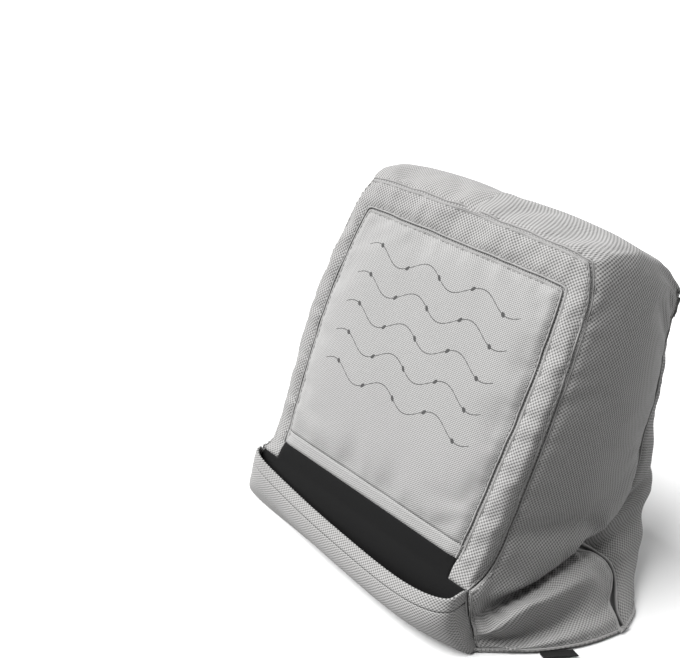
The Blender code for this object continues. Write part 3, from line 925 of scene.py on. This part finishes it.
def carried(tree, name):
    """The node that reads what the meshes carry under a name."""
    node = tree.nodes.new("ShaderNodeAttribute")
    node.attribute_name = name
    return node


def thread_places(tree):
    """The cloth's own crosswise and lengthwise places."""
    split = tree.nodes.new("ShaderNodeSeparateXYZ")
    link(tree, carried(tree, "grain").outputs["Vector"], split.inputs[0])
    return split.outputs[0], split.outputs[1]


def new_group(name, inputs, outputs):
    """An empty shader node group with named sockets."""
    tree = bpy.data.node_groups.new(name, "ShaderNodeTree")
    for label, kind, value in inputs:
        socket = tree.interface.new_socket(label, in_out="INPUT", socket_type=kind)
        socket.default_value = value
    for label, kind in outputs:
        tree.interface.new_socket(label, in_out="OUTPUT", socket_type=kind)
    start = tree.nodes.new("NodeGroupInput")
    end = tree.nodes.new("NodeGroupOutput")
    return tree, start.outputs, end.inputs


# Noises of the weave, as scale and detail, and how much each of them does
WAVER = (60, 2)
WAVER_AMOUNT = 0.9
FIBRE = (900, 3)
FIBRE_SHADE = 0.12
FIBRE_RELIEF = 0.25
CLOUD = (22, 4)
# How far the threads' tops are flattened, and how softly
THREAD_FLAT = 1.35
THREAD_SOFT = 0.2
# Roughness between the threads, and how much less it is on them
GAP_ROUGHNESS = 0.92
THREAD_SMOOTHER = -0.12


def weave_group():
    """Plain coarse weave: staggered thread crossings, from the cloth's own places."""
    tree, given, result = new_group(
        "woven_cloth",
        (
            ("Pitch", "NodeSocketFloat", 2.2 * mm),
            ("Thread", "NodeSocketColor", (0.5, 0.5, 0.5, 1)),
            ("Gap", "NodeSocketColor", (0.2, 0.2, 0.2, 1)),
            ("Variation", "NodeSocketFloat", 0.08),
        ),
        (
            ("Color", "NodeSocketColor"),
            ("Height", "NodeSocketFloat"),
            ("Roughness", "NodeSocketFloat"),
        ),
    )
    waver = math_node(tree, "SUBTRACT", noise(tree, *WAVER), 0.5)
    drift = math_node(tree, "MULTIPLY", waver, WAVER_AMOUNT)
    turns = []
    for place in thread_places(tree):
        count = math_node(tree, "DIVIDE", place, given["Pitch"])
        turned = math_node(tree, "MULTIPLY", count, tau)
        turns.append(math_node(tree, "SINE", math_node(tree, "ADD", turned, drift)))
    crossing = math_node(tree, "MULTIPLY", turns[0], turns[1])
    raised = math_node(tree, "MULTIPLY_ADD", crossing, 0.5, 0.5)
    raised = math_node(tree, "MULTIPLY", raised, THREAD_FLAT)
    height = math_node(tree, "SMOOTH_MIN", raised, 1.0, THREAD_SOFT)
    fibre = noise(tree, *FIBRE)
    cloud = math_node(tree, "SUBTRACT", noise(tree, *CLOUD), 0.5)
    shade = math_node(tree, "MULTIPLY", cloud, given["Variation"])
    fuzz = math_node(tree, "MULTIPLY", math_node(tree, "SUBTRACT", fibre, 0.5), FIBRE_SHADE)
    value = math_node(tree, "ADD", math_node(tree, "ADD", shade, fuzz), 1.0)
    colour = mixed(tree, height, given["Gap"], given["Thread"])
    link(tree, shaded(tree, colour, value), result["Color"])
    link(tree, math_node(tree, "MULTIPLY_ADD", fibre, FIBRE_RELIEF, height), result["Height"])
    rough = math_node(tree, "MULTIPLY_ADD", height, THREAD_SMOOTHER, GAP_ROUGHNESS)
    link(tree, rough, result["Roughness"])
    return tree


RELIEF_DEPTH = 0.5 * mm
RELIEF_STRENGTH = 0.7
CLOTH_VARIATION = 0.1
SHEEN_ROUGHNESS = 0.5
# Each cloth's thread and gap colours, thread pitch, sheen and shine
COVER_LOOK = ((0.125, 0.124, 0.1225), (0.055, 0.0545, 0.054), 1.7 * mm, 0.05, 0.2)
LOOKS = {
    "grey_cloth": ((0.118, 0.1165, 0.115), (0.024, 0.0237, 0.0233), 2.5 * mm, 0.05, 0.2),
    "cover_cloth": COVER_LOOK,
    "printed_cloth": COVER_LOOK,
    "black_lining": ((0.0025, 0.0025, 0.0026), (0.001, 0.001, 0.001), 0.8 * mm, 0.0, 0.08),
    "seam_cloth": ((0.115, 0.1135, 0.112), (0.035, 0.0345, 0.034), 1.6 * mm, 0.05, 0.2),
    "inner_bag": ((0.70, 0.69, 0.67), (0.5, 0.49, 0.47), 1.0 * mm, 0.05, 0.2),
    "label_ribbon": ((0.003, 0.003, 0.0031), (0.001, 0.001, 0.001), 0.7 * mm, 0.0, 0.12),
}
# Painted shade in a seam's groove: the share of its colour that it keeps at the groove's bottom
GROOVE_SHADE = 0.03


def cloth_material(name, weave, thread, gap, pitch, sheen, shine):
    material = bpy.data.materials.new(name)
    material.use_nodes = True
    tree = material.node_tree
    surface = tree.nodes["Principled BSDF"]
    cloth = tree.nodes.new("ShaderNodeGroup")
    cloth.node_tree = weave
    relief = tree.nodes.new("ShaderNodeBump")
    for node, values in (
        (cloth, {"Pitch": pitch, "Thread": (*thread, 1), "Gap": (*gap, 1), "Variation": CLOTH_VARIATION}),
        (relief, {"Strength": RELIEF_STRENGTH, "Distance": RELIEF_DEPTH}),
        (surface, {
            "Sheen Weight": sheen, "Sheen Roughness": SHEEN_ROUGHNESS, "Specular IOR Level": shine,
        }),
    ):
        for socket, value in values.items():
            node.inputs[socket].default_value = value
    link(tree, cloth.outputs["Color"], surface.inputs["Base Color"])
    link(tree, cloth.outputs["Roughness"], surface.inputs["Roughness"])
    link(tree, cloth.outputs["Height"], relief.inputs["Height"])
    link(tree, relief.outputs["Normal"], surface.inputs["Normal"])
    return material


def paint_groove_shade(material):
    """Paints shade into a seam's groove by darkening its colour there."""
    tree = material.node_tree
    target = tree.nodes["Principled BSDF"].inputs["Base Color"]
    depth = carried(tree, "groove").outputs["Fac"]
    shade = math_node(tree, "MULTIPLY_ADD", depth, GROOVE_SHADE - 1, 1.0)
    link(tree, shaded(tree, target.links[0].from_socket, shade), target)


PRINT_LINE_GAP = 21 * mm
PRINT_LINE_WIDTH = 0.55 * mm
PRINT_WAVE = 46 * mm
PRINT_WAVE_HEIGHT = 5 * mm
PRINT_DOT_GAP = 27 * mm
PRINT_DOT_RADIUS = 1.5 * mm
PRINT_MIDDLE = (0 * mm, 165 * mm)
PRINT_REACH = (66 * mm, 52 * mm)
PRINT_STRENGTH = 0.94
PRINT_INK = (0.01, 0.01, 0.01, 1)


def add_print(material):
    """A generic thin black print on the cover: wavy lines, with dots spaced along them."""
    tree = material.node_tree
    target = tree.nodes["Principled BSDF"].inputs["Base Color"]
    across, up = thread_places(tree)
    wave = math_node(tree, "SINE", math_node(tree, "MULTIPLY", across, tau / PRINT_WAVE))
    level = math_node(tree, "ADD", up, math_node(tree, "MULTIPLY", wave, PRINT_WAVE_HEIGHT))
    off_line = math_node(tree, "PINGPONG", level, PRINT_LINE_GAP / 2)
    line = math_node(tree, "LESS_THAN", off_line, PRINT_LINE_WIDTH / 2)
    off_dot = math_node(tree, "PINGPONG", across, PRINT_DOT_GAP / 2)
    squares = [math_node(tree, "POWER", off, 2.0) for off in (off_line, off_dot)]
    far = math_node(tree, "SQRT", math_node(tree, "ADD", *squares))
    dot = math_node(tree, "LESS_THAN", far, PRINT_DOT_RADIUS)
    mark = math_node(tree, "MAXIMUM", line, dot)
    for value, middle, reach in zip((across, up), PRINT_MIDDLE, PRINT_REACH):
        away = math_node(tree, "ABSOLUTE", math_node(tree, "SUBTRACT", value, middle))
        mark = math_node(tree, "MULTIPLY", mark, math_node(tree, "LESS_THAN", away, reach))
    share = math_node(tree, "MULTIPLY", mark, PRINT_STRENGTH)
    link(tree, mixed(tree, share, target.links[0].from_socket, PRINT_INK), target)


def make_finishes():
    """Every cloth's material, with its slot in the part."""
    weave = weave_group()
    finishes = {}
    for name, look in LOOKS.items():
        slot = "cover_cloth" if name == "printed_cloth" else name
        finishes[name] = (cloth_material(name, weave, *look), slot)
    add_print(finishes["printed_cloth"][0])
    # Painted shade in the seams' grooves
    paint_groove_shade(finishes["seam_cloth"][0])
    return finishes


# Lip
LIP_ROWS = 18
HEM_ROWS = 4
LIP_COLUMNS = 64
LIP_SPACING = (0.35, 0.65)
LIP_ROUND = 52 * mm
LIP_MIDDLE = ((-58.1, 0.8), (-66, 3.5), (-73, 10), (-76.5, 18), (-76, 26), (-71, 36))
LIP_END = (
    (113.7, -46.2, 1.0), (109.3, -48, 12), (105.8, -48.6, 22), (103.6, -50, 33), (102, -50.2, 43.5),
)
LIP_FULLNESS_RIGHT = 4.5
LIP_FULLNESS_LEFT = 2.4
LIP_FOOT_SQUARER = 1.6
# How far the lip leans back in its middle, and how much less it does towards its right end
LIP_LEAN = 4.6
LIP_LEAN_SLOPE = 7.6
HEM_SHARE = 0.80
# How far the lip's right end turns into its corner seam, inward and back, and how suddenly
LIP_TUCK = (2.2, 1.6)
LIP_TUCK_POWER = 80
# How far the lip's lining and hem lie off the lip's surface, and how thick the hem is
LIP_LINING_LIFT = -1.6 * mm
LIP_HEM_LIFT = 0.2 * mm
LIP_HEM_CLOTH = 2.4 * mm

lip_end_line = smooth_line(LIP_END)
lip_middle_line = smooth_line(LIP_MIDDLE)


def lip_place(t, u):
    """Place at share t up the lip and u from -1 to 1 across it, in metres."""
    x, end_y, end_z = lip_end_line(t)
    middle_y, middle_z = lip_middle_line(t)
    fullness = LIP_FULLNESS_LEFT + LIP_FOOT_SQUARER * (1 - t) ** 3 if u < 0 else LIP_FULLNESS_RIGHT
    share = (1 - abs(u) ** fullness) ** (1 / fullness)
    rise = 1 - abs(u) ** 3
    lean = (LIP_LEAN - LIP_LEAN_SLOPE * u) * share * (1 - u**4) * min(1, 4 * t)
    tucked = max(u, 0.0) ** LIP_TUCK_POWER
    x -= LIP_TUCK[0] * tucked
    y = end_y + (middle_y - end_y) * share + lean + LIP_TUCK[1] * tucked
    return Vector((u * x, y, end_z + (middle_z - end_z) * rise)) * mm


def add_faces(bm, rows, grain_at):
    """Faces between rows of vertices, with each corner's place on the cloth."""
    grain = bm.loops.layers.float_vector.new("grain")
    for i in range(len(rows) - 1):
        for j in range(len(rows[0]) - 1):
            corners = ((i, j), (i, j + 1), (i + 1, j + 1), (i + 1, j))
            face = bm.faces.new([rows[a][b] for a, b in corners])
            for loop, corner in zip(face.loops, corners):
                loop[grain] = Vector((*grain_at(*corner), 0.0))


def lip_layer(name, rows, lift, thickness, finish):
    """A layer of the lip, made whole and then split into two halves at its middle."""
    bm = bmesh.new()
    even = [2 * i / LIP_COLUMNS - 1 for i in range(LIP_COLUMNS + 1)]
    columns = [LIP_SPACING[0] * u + LIP_SPACING[1] * sin(u * pi / 2) for u in even]
    grid = [[bm.verts.new(lip_place(t, u)) for u in columns] for t in rows]
    arc = distances([vert.co for vert in grid[-1]])
    add_faces(bm, grid, lambda i, j: (arc[j], rows[i] * LIP_ROUND))
    bm.normal_update()
    if sum(face.normal.y for face in bm.faces) > 0:
        bmesh.ops.reverse_faces(bm, faces=bm.faces[:])
        bm.normal_update()
    normals = {v: v.normal.copy() for v in bm.verts}
    for v, normal in normals.items():
        v.co += normal * lift
    whole = new_piece(name, closed_up(bm, name), finish)
    thicken(whole, thickness)
    refine(whole)
    finished(whole)
    halves = []
    for side, sign in (("left", -1), ("right", 1)):
        part = whole.data.copy()
        bm = opened(part)
        other = [face for face in bm.faces if face.calc_center_median().x * sign < 0]
        bmesh.ops.delete(bm, geom=other, context="FACES")
        bm.to_mesh(part)
        bm.free()
        halves.append((sign, new_piece(f"{name}_{side}", part, finish)))
    bpy.data.objects.remove(whole)
    return halves


def add_lip(finishes):
    """The front lip: its outer cloth, its black lining, and the hem rolled over its free edge."""
    panel_rows = [HEM_SHARE * i / LIP_ROWS for i in range(LIP_ROWS + 1)]
    hem_rows = [HEM_SHARE + (1 - HEM_SHARE) * i / HEM_ROWS for i in range(HEM_ROWS + 1)]
    for name, rows, lift, thickness, finish in (
        ("lip_panel", panel_rows, 0.0, CLOTH, "grey_cloth"),
        ("lip_lining", panel_rows, LIP_LINING_LIFT, LINING, "black_lining"),
        ("lip_hem", hem_rows, LIP_HEM_LIFT, LIP_HEM_CLOTH, "grey_cloth"),
    ):
        for sign, piece in lip_layer(name, rows, lift, thickness, finishes[finish]):
            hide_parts(name)
            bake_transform(piece)


# Label, in millimetres: where its sewn edge lies, the way it points, its size, how far its end
# curls up, how low it starts, and the two waves along it
LABEL_SPOT = (143.8, -7.95, 1.8)
LABEL_OUT = (0.8499, -0.5269)
LABEL_LONG = 22.0
LABEL_REACH = 8.0
LABEL_CURL = 3.0
LABEL_DROP = 0.6
LABEL_WAVES = (0.5, 0.25)
# Its ends' heights at the seam, the reach and height of its folded edge, and that edge's middle
LABEL_ENDS = (0.5, -0.4)
LABEL_FOLD = (0.6, 0.45)
LABEL_FOLD_MIDDLE = 0.1
LABEL_FOLD_STEPS = 6
LABEL_STEPS = 11
LABEL_CLOTH = 0.35 * mm
# How far apart the places of its profile lie on its cloth
LABEL_GRAIN = LABEL_REACH / 4


def add_label(finishes):
    """A black ribbon folded in half, its two ends sewn into the bottom seam."""
    out = Vector((*LABEL_OUT, 0.0))
    along = Vector((-LABEL_OUT[1], LABEL_OUT[0], 0.0))
    fold_reach, fold_height = LABEL_FOLD
    profile = [(0.0, LABEL_ENDS[0])]
    for i in range(LABEL_FOLD_STEPS + 1):
        turn = pi / 2 - pi * i / LABEL_FOLD_STEPS
        reach = LABEL_REACH - fold_reach + fold_reach * cos(turn)
        profile.append((reach, LABEL_FOLD_MIDDLE + fold_height * sin(turn)))
    profile.append((0.0, LABEL_ENDS[1]))
    bm = bmesh.new()
    rows = []
    for i in range(LABEL_STEPS + 1):
        share = i / LABEL_STEPS
        line = []
        for reach, height in profile:
            far = reach / LABEL_REACH
            bend = LABEL_WAVES[0] * sin(pi * share) + LABEL_WAVES[1] * sin(tau * share) * far
            place = Vector(LABEL_SPOT) + out * reach + along * (share - 0.5) * LABEL_LONG
            place.z += height - LABEL_DROP + bend * far + LABEL_CURL * far**2
            line.append(bm.verts.new(place * mm))
        rows.append(line)
    add_faces(bm, rows, lambda i, j: (i * LABEL_LONG / LABEL_STEPS * mm, j * LABEL_GRAIN * mm))
    bmesh.ops.recalc_face_normals(bm, faces=bm.faces[:])
    ribbon = new_piece("label_loop", closed_up(bm, "label_loop"), finishes["label_ribbon"])
    thicken(ribbon, LABEL_CLOTH, 0.0)
    finished(ribbon)
    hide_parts("label")
    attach(ribbon, "tag")


WORLD_LIGHT = 0.39
KEY_LIGHT = 20.0
KEY_FROM = (-0.62, -0.74, 1.1)
BACK_LIGHT = 4.0
BACK_FROM = (0.25, 0.9, 0.5)
LIGHT_SPREAD = 1.0
FLOOR_SIZE = 6.0
FLOOR_COLOUR = (0.3, 0.3, 0.3, 1)
FLOOR_ROUGHNESS = 0.8
FLOOR_DROP = 0.2 * mm
CAMERA_LENS = 52.78
CAMERA_SENSOR = 36.0
CAMERA_PLACE = (0.3806, -0.4457, 0.4493)
CAMERA_RIGHT = (0.6724813, 0.73743887, 0.06287139)
CAMERA_UP = (-0.36532379, 0.25686175, 0.8947405)
CAMERA_BACK = (0.64366717, -0.62466467, 0.44213869)


def stage_room():
    """A pale floor, and a world that lights softly and is white where the camera sees it."""
    bm = bmesh.new()
    bmesh.ops.create_grid(bm, x_segments=1, y_segments=1, size=FLOOR_SIZE)
    mesh = closed_up(bm, "floor")
    floor = linked("floor", mesh)
    material = bpy.data.materials.new("pale_floor")
    material.use_nodes = True
    surface = material.node_tree.nodes["Principled BSDF"]
    surface.inputs["Base Color"].default_value = FLOOR_COLOUR
    surface.inputs["Roughness"].default_value = FLOOR_ROUGHNESS
    mesh.materials.append(material)
    floor.location.z = -FLOOR_DROP
    world = bpy.data.worlds.new("studio")
    world.use_nodes = True
    tree = world.node_tree
    sky = tree.nodes["Background"]
    sky.inputs["Color"].default_value = (1, 1, 1, 1)
    seen = tree.nodes.new("ShaderNodeLightPath").outputs["Is Camera Ray"]
    strength = math_node(tree, "MULTIPLY_ADD", seen, 1 - WORLD_LIGHT, WORLD_LIGHT)
    link(tree, strength, sky.inputs["Strength"])
    bpy.context.scene.world = world
    bpy.context.scene.view_settings.view_transform = "Standard"


def add_light(name, strength, way):
    """A wide soft light that comes from one way."""
    lamp = bpy.data.lights.new(name, "SUN")
    lamp.energy = strength
    lamp.angle = LIGHT_SPREAD
    holder = linked(name, lamp)
    holder.rotation_euler = Vector(way).to_track_quat("Z", "Y").to_euler()


def add_camera():
    camera = bpy.data.cameras.new("camera")
    camera.lens = CAMERA_LENS
    camera.sensor_width = CAMERA_SENSOR
    holder = linked("camera", camera)
    turn = Matrix((CAMERA_RIGHT, CAMERA_UP, CAMERA_BACK)).transposed().to_4x4()
    holder.matrix_world = Matrix.Translation(CAMERA_PLACE) @ turn
    bpy.context.scene.camera = holder


INNER_BAG_INSIDE = 6.0 * mm
INNER_BAG_SHARE = 0.3
INNER_BAG_SMOOTHING = 5
# How far under the cloth the rays start that measure the room inside
RAY_START = 0.05


def inner_bag(source, finish):
    """The bead-filled inner bag, just inside the cloth all round, and nearer it where the bag is thin."""
    bm = opened(source)
    bm.normal_update()
    walls = BVHTree.FromBMesh(bm)
    moved = []
    for v in bm.verts:
        start = v.co - v.normal * RAY_START * mm
        hit, normal, index, room = walls.ray_cast(start, -v.normal)
        room = room if hit else 0.0
        moved.append((v, v.co - v.normal * min(INNER_BAG_INSIDE, INNER_BAG_SHARE * room)))
    for v, place in moved:
        v.co = place
    for k in range(INNER_BAG_SMOOTHING):
        bmesh.ops.smooth_vert(
            bm, verts=bm.verts[:], factor=0.5, use_axis_x=True, use_axis_y=True, use_axis_z=True,
        )
    return new_piece("inner_bag", closed_up(bm, "inner_bag"), finish)


# Folds between the foot and the backrest, by name: the places at which each bend starts and ends
FOLDS = {
    "whole_fold": ((0, 0, 0.020), (0, -0.0065, 0.0535)),
    "trough_fold": ((0, -0.05, 0.036), (0, -0.05, 0.046)),
}
# How far the pocket's lining and its hem lie off the bag's surface, and how thick the hem is
POCKET_LIFT = -2 * mm
HEM_LIFT = 0.4 * mm
HEM_CLOTH = CLOTH * 1.5
# Each cloth panel: its name, regions, finish, thickness, how far it is lifted off the bag, the nodes
# that it replaces, and the body that it rides on or the fold named for it
PANELS = (
    (
        "gusset", SIDES | FOOT_SIDES | {"top"}, "grey_cloth", CLOTH, 0.0,
        ("top_panel", "side_panel_left", "side_panel_right", "foot_side_left", "foot_side_right"),
        "whole_fold",
    ),
    (
        "back", {"back", "tuck", "foot_back"}, "grey_cloth", CLOTH, 0.0,
        ("back_panel", "foot_back_panel"), "whole_fold",
    ),
    ("base", {"base"}, "grey_cloth", CLOTH, 0.0, ("base_panel",), "foot"),
    (
        "trough", {"front", "lining"}, "black_lining", LINING, 0.0,
        ("trough_lining",), "trough_fold",
    ),
    (
        "face_border", {"border"}, "grey_cloth", CLOTH, 0.0,
        ("border_strip_left", "border_strip_right", "border_strip_top"), "backrest",
    ),
    (
        "pocket_back", {"lining", "cover", "cover_hem"}, "black_lining", LINING, POCKET_LIFT,
        ("pocket_lining",), "backrest",
    ),
    ("cover", {"cover"}, "printed_cloth", CLOTH, 0.0, ("pocket_cover",), "cover"),
    (
        "cover_hem", {"cover_hem"}, "cover_cloth", HEM_CLOTH, HEM_LIFT,
        ("pocket_cover_hem",), "cover",
    ),
)
# Each seam: its name, the regions on its two sides, the node that it replaces or nothing where it is
# a left and right pair named after itself, its body or fold, and its cross-section
SEAMS = (
    ("rim_seam", {"border", "lining"}, SIDES | {"top"}, "rim_seam", "backrest", SEAM_PROFILE),
    ("back_seam", {"back", "tuck"}, SIDES | {"top"}, "back_seam", "backrest", THICK_SEAM),
    ("base_seam", {"base"}, FOOT_SIDES | {"foot_back", "front"}, "base_seam", "foot", SEAM_PROFILE),
    ("cover_seam", {"border"}, {"cover", "cover_hem"}, "cover_piping", "backrest", SEAM_PROFILE),
    ("foot_back_seam", {"foot_back"}, FOOT_SIDES, None, "foot", FOOT_SEAM),
    ("corner_seam", {"front"}, FOOT_SIDES | SIDES, None, "whole_fold", SEAM_PROFILE),
)


def carry(piece, body):
    """Lets a piece ride on a body; a piece given one of the folds only has its transform applied."""
    if body in FOLDS:
        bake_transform(piece)
    else:
        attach(piece, body)


def add_bag(finishes):
    """The sewn bag: its panels, the filled inner bag, and its seams."""
    bag = linked("bag", bag_mesh(build_bag()))
    fill_with_beads(bag)
    refine(bag)
    skin = final_mesh(bag)
    bpy.data.objects.remove(bag)
    gather_seams(skin)
    for name, regions, finish, thickness, lift, nodes, body in PANELS:
        panel = cut_out(name, skin, regions, finishes[finish], thickness, lift)
        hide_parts(*nodes)
        carry(panel, body)
    inner = inner_bag(skin, finishes["inner_bag"])
    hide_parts("foot_filling", "backrest_filling")
    carry(inner, "whole_fold")
    for name, left, right, node, body, profile in SEAMS:
        for i, trace in enumerate(trace_seams(skin, left, right)):
            side = "left" if trace.places[0].x < 0 else "right"
            owner = node or f"{name}_{side}"
            label = f"{name}_welt_{i + 1}" if node else owner + "_welt"
            welt = add_welt(label, trace, profile, finishes["seam_cloth"])
            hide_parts(owner)
            carry(welt, body)


add_camera()
stage_room()
add_light("key", KEY_LIGHT, KEY_FROM)
add_light("back", BACK_LIGHT, BACK_FROM)
finishes = make_finishes()
add_bag(finishes)
add_lip(finishes)
add_label(finishes)
